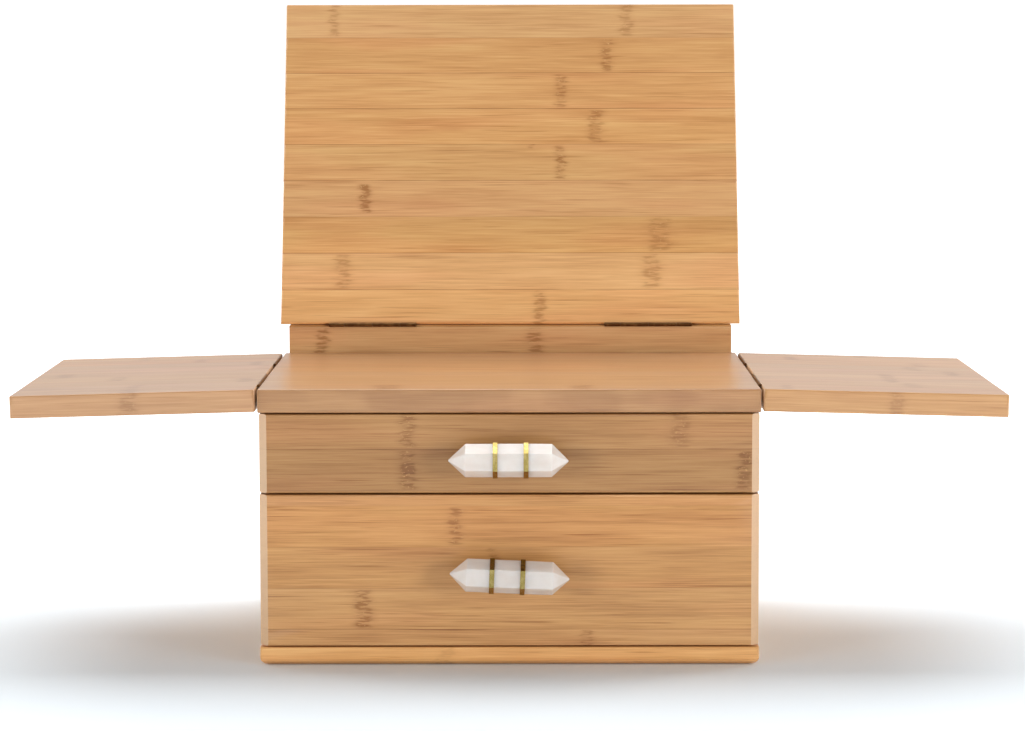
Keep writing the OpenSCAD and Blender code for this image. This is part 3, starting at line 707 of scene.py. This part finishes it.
# A countersunk cross-head screw on each point of the mesh, turned by the point's "lean"
def makeScrewTree():
    tree = bpy.data.node_groups.new("hingeScrews", "GeometryNodeTree")
    face = tree.interface
    face.new_socket("Geometry", in_out="OUTPUT", socket_type="NodeSocketGeometry")
    face.new_socket("Points", in_out="INPUT", socket_type="NodeSocketGeometry")
    for name, kind in (("Head width", "Float"), ("Head height", "Float"), ("Shank width", "Float"),
                       ("Length", "Float"), ("Recess width", "Float"), ("Recess length", "Float"),
                       ("Recess depth", "Float"), ("Finish", "Material")):
        face.new_socket(name, in_out="INPUT", socket_type="NodeSocket" + kind)
    given = tree.nodes.new("NodeGroupInput").outputs
    headRadius = sums(tree, "MULTIPLY", given["Head width"], 0.5)
    shankRadius = sums(tree, "MULTIPLY", given["Shank width"], 0.5)
    head = put(tree, "GeometryNodeMeshCone", {
        "Vertices": 24, "Radius Top": headRadius, "Radius Bottom": shankRadius,
        "Depth": given["Head height"]}).outputs[0]
    drop = put(tree, "ShaderNodeCombineXYZ", {2: sums(tree, "MULTIPLY", given["Head height"], -1.0)})
    head = put(tree, "GeometryNodeTransform", {
        "Geometry": head, "Translation": drop.outputs[0]}).outputs[0]
    shankLength = sums(tree, "SUBTRACT", given["Length"], given["Head height"])
    shank = put(tree, "GeometryNodeMeshCone", {
        "Vertices": 16, "Radius Top": shankRadius, "Depth": shankLength,
        "Radius Bottom": sums(tree, "MULTIPLY", shankRadius, 0.2)}).outputs[0]
    down = put(tree, "ShaderNodeCombineXYZ", {2: sums(tree, "MULTIPLY", given["Length"], -1.0)})
    shank = put(tree, "GeometryNodeTransform", {
        "Geometry": shank, "Translation": down.outputs[0]}).outputs[0]
    slots = tree.nodes.new("GeometryNodeJoinGeometry")
    deep = sums(tree, "MULTIPLY", given["Recess depth"], 2.0)
    for quarter in (0.0, math.pi / 2):
        bar = put(tree, "ShaderNodeCombineXYZ", {0: given["Recess length"], 1: given["Recess width"],
                                                 2: deep}).outputs[0]
        cube = put(tree, "GeometryNodeMeshCube", {"Size": bar}).outputs[0]
        turned = put(tree, "GeometryNodeTransform", {"Geometry": cube, "Rotation": (0, 0, quarter)})
        tree.links.new(turned.outputs[0], slots.inputs[0])
    head = put(tree, "GeometryNodeMeshBoolean", {"Mesh 1": head, "Mesh 2": slots.outputs[0]},
               operation="DIFFERENCE", solver="EXACT").outputs[0]
    both = tree.nodes.new("GeometryNodeJoinGeometry")
    tree.links.new(head, both.inputs[0])
    tree.links.new(shank, both.inputs[0])
    lean = put(tree, "GeometryNodeInputNamedAttribute", {"Name": "lean"},
               data_type="FLOAT_VECTOR").outputs[0]
    turn = put(tree, "FunctionNodeEulerToRotation", {0: lean}).outputs[0]
    screws = put(tree, "GeometryNodeInstanceOnPoints", {
        "Points": given["Points"], "Instance": both.outputs[0], "Rotation": turn}).outputs[0]
    whole = put(tree, "GeometryNodeRealizeInstances", {0: screws}).outputs[0]
    done = put(tree, "GeometryNodeSetMaterial", {"Geometry": whole, "Material": given["Finish"]})
    out = tree.nodes.new("NodeGroupOutput")
    tree.links.new(done.outputs[0], out.inputs[0])
    return tree


screwTree = makeScrewTree()


# The head centres and shank directions of a CAD node's screws, from its loose parts
def screwPlaces(node, axis, sign):
    shape = bmesh.new()
    shape.from_mesh(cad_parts[node].data)
    bmesh.ops.remove_doubles(shape, verts=shape.verts, dist=weldDistance)
    seen = set()
    places = []
    for start in shape.verts:
        if start in seen:
            continue
        part = []
        todo = [start]
        seen.add(start)
        while todo:
            vert = todo.pop()
            part.append(vert.co.copy())
            for edge in vert.link_edges:
                other = edge.other_vert(vert)
                if other not in seen:
                    seen.add(other)
                    todo.append(other)
        direction = axis * (sign(part) if callable(sign) else sign)
        reach = max(point.dot(direction) for point in part)
        top = [point for point in part if point.dot(direction) > reach - 0.05 * mm]
        places.append((sum(top, Vector()) / len(top), direction))
    shape.free()
    return places


def outward(part):
    return 1 if part[0].x > 0 else -1


def makeScrews(node, name, body, axis, sign, seed):
    draw = random.Random(seed)
    mesh = bpy.data.meshes.new(name)
    places = screwPlaces(node, axis, sign)
    mesh.from_pydata([place for place, direction in places], [], [])
    leans = []
    for place, direction in places:
        turn = direction.to_track_quat("Z", "Y") @ Matrix.Rotation(
            draw.uniform(0, math.pi), 3, "Z").to_quaternion()
        leans.extend(turn.to_euler())
    mesh.attributes.new("lean", "FLOAT_VECTOR", "POINT").data.foreach_set("vector", leans)
    obj = newObject(name, mesh)
    screws = obj.modifiers.new("screws", "NODES")
    screws.node_group = screwTree
    look = screwLook
    setInputs(screws, {
        "Head width": look["headWidth"], "Head height": look["headHeight"],
        "Shank width": look["shankWidth"], "Length": look["length"],
        "Recess width": look["recessWidth"], "Recess length": look["recessLength"],
        "Recess depth": look["recessDepth"], "Finish": bronze})
    plain = settled(obj)
    obj.modifiers.clear()
    obj.data = plain
    softShade(obj, 30)
    register(obj, body, "hinge_bronze", node)


up = Vector((0, 0, 1))
right = Vector((1, 0, 0))
droop = math.radians(wingDroop)
leftIn = Vector((math.cos(droop), 0, math.sin(droop)))
rightIn = Vector((-math.cos(droop), 0, math.sin(droop)))
makeScrews("rail_screws", "railHingeScrews", "case", up, 1, 31)
makeScrews("lid_screws", "lidHingeScrews", "lid", up, -1, 32)
makeScrews("board_edge_screws", "boardHingeScrews", "case", right, outward, 33)
makeScrews("left_wing_screws", "leftWingHingeScrews", "left_wing", leftIn, 1, 34)
makeScrews("right_wing_screws", "rightWingHingeScrews", "right_wing", rightIn, 1, 35)
print("hinge screws made")


bumperLook = {"steps": 40, "rim": 0.9 * mm, "taper": 1 * mm, "lip": 0.4 * mm}


# A domed rubber button, turned about Z: wide at the top, where it is glued on
def makeBumpers(side):
    node = side + "_wing_bumpers"
    sign = -1 if side == "left" else 1
    axis = Matrix.Rotation(droop * sign, 3, "Y") @ up
    shape = bmesh.new()
    cad = bmesh.new()
    cad.from_mesh(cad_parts[node].data)
    for half in (-1, 1):
        part = [v.co.copy() for v in cad.verts if v.co.y * half > 0]
        reach = max(p.dot(axis) for p in part)
        depth = reach - min(p.dot(axis) for p in part)
        top = [p for p in part if p.dot(axis) > reach - 0.05 * mm]
        centre = sum(top, Vector()) / len(top)
        radius = max((p - centre).length for p in top)
        rim = bumperLook["rim"]
        narrow = radius - bumperLook["taper"]
        profile = [(radius, 0.0), (radius, -bumperLook["lip"]), (radius - 0.15 * mm, -0.9 * mm)]
        for i in range(7):
            bend = math.radians(15 * i)
            profile.append((narrow - rim + rim * math.cos(bend), -depth + rim - rim * math.sin(bend)))
        rows = []
        place = Matrix.Translation(centre) @ Matrix.Rotation(droop * sign, 4, "Y")
        for r, z in profile:
            rows.append([shape.verts.new(place @ Vector((
                r * math.cos(math.tau * k / bumperLook["steps"]),
                r * math.sin(math.tau * k / bumperLook["steps"]), z)))
                for k in range(bumperLook["steps"])])
        for first, second in zip(rows, rows[1:]):
            for k in range(len(first)):
                j = (k + 1) % len(first)
                shape.faces.new((first[k], second[k], second[j], first[j]))
        shape.faces.new(rows[0])
        shape.faces.new(rows[-1][::-1])
    cad.free()
    bmesh.ops.recalc_face_normals(shape, faces=shape.faces)
    mesh = bpy.data.meshes.new(side + "WingBumpers")
    shape.to_mesh(mesh)
    shape.free()
    mesh.materials.append(rubber)
    obj = newObject(side + "WingBumpers", mesh)
    softShade(obj, 40)
    register(obj, side + "_wing", "rubber_bumpers", node)


makeBumpers("left")
makeBumpers("right")
print("bumpers made")


feltLook = {"width": 228 * mm, "length": 172 * mm, "fuzz": 0.10 * mm,
            "rimDrop": 0.35 * mm, "across": 114, "along": 86}


# A laid sheet with a slightly uneven top and a lower rim where it was cut
def makeFeltSheet(which, seed):
    node = which + "_drawer_felt"
    low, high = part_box(node)
    draw = random.Random(seed)
    look = feltLook
    columns, rows = look["across"], look["along"]
    shape = bmesh.new()
    layers = []
    for level in (0, 1):
        grid = []
        for i in range(columns + 1):
            line = []
            for j in range(rows + 1):
                x = low.x + (high.x - low.x) * i / columns
                y = low.y + (high.y - low.y) * j / rows
                rim = i in (0, columns) or j in (0, rows)
                z = low.z if level == 0 else high.z - draw.uniform(0, look["fuzz"]) - (
                    look["rimDrop"] if rim else 0)
                line.append(shape.verts.new((x, y, z)))
            grid.append(line)
        layers.append(grid)
    for level, grid in enumerate(layers):
        for i in range(columns):
            for j in range(rows):
                corners = (grid[i][j], grid[i + 1][j], grid[i + 1][j + 1], grid[i][j + 1])
                shape.faces.new(corners if level else corners[::-1])
    bottom, top = layers
    edge = [(i, 0) for i in range(columns)] + [(columns, j) for j in range(rows)]
    edge += [(i, rows) for i in range(columns, 0, -1)] + [(0, j) for j in range(rows, 0, -1)]
    for (i, j), (m, n) in zip(edge, edge[1:] + edge[:1]):
        shape.faces.new((bottom[i][j], bottom[m][n], top[m][n], top[i][j]))
    bmesh.ops.recalc_face_normals(shape, faces=shape.faces)
    mesh = bpy.data.meshes.new(which + "DrawerFelt")
    shape.to_mesh(mesh)
    shape.free()
    mesh.materials.append(felt)
    mesh.shade_smooth()
    obj = newObject(which + "DrawerFelt", mesh)
    register(obj, which + "_drawer", "felt_lining", node)


makeFeltSheet("upper", 41)
makeFeltSheet("lower", 42)
print("felt laid")


def makeDowelWood():
    material, tree, shader = newMaterial("dowelWood")
    place = put(tree, "ShaderNodeTexCoord").outputs["Object"]
    grain = noise(tree, vectorSums(tree, "MULTIPLY", place, (1300, 1300, 30)), 1.0, 3.0, 0.6)
    tree.links.new(blendColour(tree, grain, paint(190, 140, 92), paint(228, 188, 138)),
                   shader.inputs["Base Color"])
    tree.links.new(sums(tree, "MULTIPLY_ADD", grain, 0.2, 0.45), shader.inputs["Roughness"])
    bump(tree, shader, grain, 0.4, 0.0001)
    return material


dowelWood = makeDowelWood()
for node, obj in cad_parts.items():
    finish = None
    if node == "case_dowels":
        finish = dowelWood
    elif node.endswith(("_plate", "_pin")):
        finish = bronze
    elif node.endswith("_posts"):
        finish = brass
    elif node.endswith("_pull_screws"):
        finish = steel
    if finish:
        obj.data.materials.clear()
        obj.data.materials.append(finish)
print("finishes set")


studio = {
    "ceiling": 28.0, "ceilingSize": (2.2, 1.2), "ceilingPlace": (0.0, 0.65, 1.7),
    "left": 19.0, "right": 26.0, "frontSize": 0.9, "frontPlace": (1.9, -1.9, 0.38),
    "leftRear": 8.0, "rightRear": 11.0, "rearPlace": (1.5, 0.9, 0.5), "rearSize": 0.8,
    "roomLight": 0.64, "frontLight": 0.24,
    "floorColour": (0.81, 0.88, 0.93, 1.0),
    "glowFrom": 0.24, "glowTo": 0.85, "glow": 0.95,
}


cameraView = {"lens": 107.8, "place": (0.0064, -1.737, 0.331), "down": 5.885, "pan": 0.16,
              "roll": -0.1}


# A wide floor that glows more with distance
def makeFloor():
    shape = bmesh.new()
    bmesh.ops.create_grid(shape, x_segments=1, y_segments=1, size=6.0)
    mesh = bpy.data.meshes.new("studioFloor")
    shape.to_mesh(mesh)
    shape.free()
    material, tree, shader = newMaterial("paleFloor")
    place = put(tree, "ShaderNodeTexCoord").outputs["Object"]
    away = put(tree, "ShaderNodeVectorMath", {0: place}, operation="LENGTH").outputs["Value"]
    # away from the box the floor glows white, so that it joins the background
    glow = spread(tree, away, studio["glowFrom"], studio["glowTo"], 0.0, studio["glow"])
    tree.links.new(glow, shader.inputs["Emission Strength"])
    shader.inputs["Emission Color"].default_value = (1, 1, 1, 1)
    shader.inputs["Base Color"].default_value = studio["floorColour"]
    shader.inputs["Roughness"].default_value = 0.7
    shader.inputs["Specular IOR Level"].default_value = 0.2
    mesh.materials.append(material)
    floor = newObject("studioFloor", mesh)


def makeRoom():
    world = bpy.data.worlds.new("studio")
    scene.world = world
    world.use_nodes = True
    tree = world.node_tree
    tree.nodes.clear()
    way = put(tree, "ShaderNodeSeparateXYZ", {0: put(tree, "ShaderNodeTexCoord").outputs["Generated"]})
    # the camera's side of the room is dimmer than the white walls beside and behind the box
    strength = spread(tree, way.outputs[1], -0.75, 0.1, studio["frontLight"], studio["roomLight"])
    seen = put(tree, "ShaderNodeLightPath").outputs["Is Camera Ray"]
    strength = put(tree, "ShaderNodeMix", {0: seen, 2: strength, 3: 1.05}).outputs[0]
    sky = put(tree, "ShaderNodeBackground", {"Color": (1, 1, 1, 1), "Strength": strength})
    out = tree.nodes.new("ShaderNodeOutputWorld")
    tree.links.new(sky.outputs[0], out.inputs[0])


def makeLamp(name, place, target, power, size):
    lamp = bpy.data.lights.new(name, "AREA")
    lamp.energy = power
    if isinstance(size, tuple):
        lamp.shape = "RECTANGLE"
        lamp.size, lamp.size_y = size
    else:
        lamp.shape = "DISK"
        lamp.size = size
    obj = bpy.data.objects.new(name, lamp)
    scene.collection.objects.link(obj)
    obj.location = place
    obj.rotation_euler = (Vector(target) - Vector(place)).to_track_quat("-Z", "Y").to_euler()


def makeCamera():
    lens = bpy.data.cameras.new("camera")
    lens.lens = cameraView["lens"]
    lens.sensor_width = 36
    lens.clip_end = 50
    obj = bpy.data.objects.new("camera", lens)
    scene.collection.objects.link(obj)
    tilt = Matrix.Rotation(math.radians(90 - cameraView["down"]), 4, "X")
    pan = Matrix.Rotation(math.radians(cameraView["pan"]), 4, "Z")
    roll = Matrix.Rotation(math.radians(cameraView["roll"]), 4, "Z")
    obj.matrix_world = Matrix.Translation(cameraView["place"]) @ pan @ tilt @ roll
    scene.camera = obj


makeFloor()
makeRoom()
makeLamp("ceilingLight", studio["ceilingPlace"], (0, 0.05, 0.1), studio["ceiling"],
         studio["ceilingSize"])
for side, name in ((-1, "left"), (1, "right")):
    for place, power, size in (("frontPlace", name, "frontSize"),
                               ("rearPlace", name + "Rear", "rearSize")):
        across, depth, height = studio[place]
        makeLamp(power + "Light", (side * across, depth, height), (0, 0, 0.15), studio[power],
                 studio[size])
makeCamera()
scene.view_settings.view_transform = "Standard"
print("floor, light and camera set")
